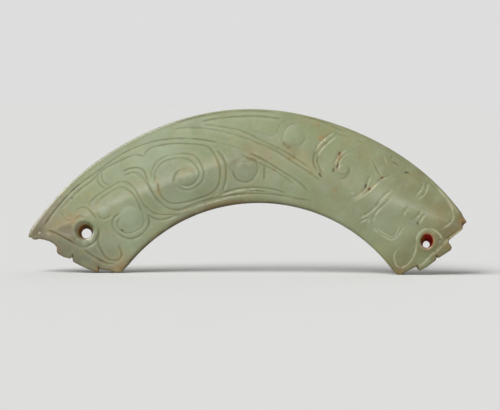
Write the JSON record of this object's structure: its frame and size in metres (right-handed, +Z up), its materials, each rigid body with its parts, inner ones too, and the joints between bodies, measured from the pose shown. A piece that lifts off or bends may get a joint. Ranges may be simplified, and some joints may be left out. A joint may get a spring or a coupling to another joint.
{
  "type": "jade huang pendant",
  "caption": "Arc-shaped carved jade pendant plate with a notched head and a cord bore at each end.",
  "frame": {"origin": "on the ground under the middle of the plate's box, midway between its two tips and between its two faces", "axes": "+X along the arc from the left head to the right head, +Y out of the plain back, -Y out of the carved face, +Z up"},
  "size_m": [0.11, 0.0056, 0.0415],
  "materials": {
    "jade": "polished pale celadon nephrite with soft gloss, brown staining on the rims and worn edges"
  },
  "bodies": {
    "root": {"jade_plate": "jade"}
  },
  "joints": []
}
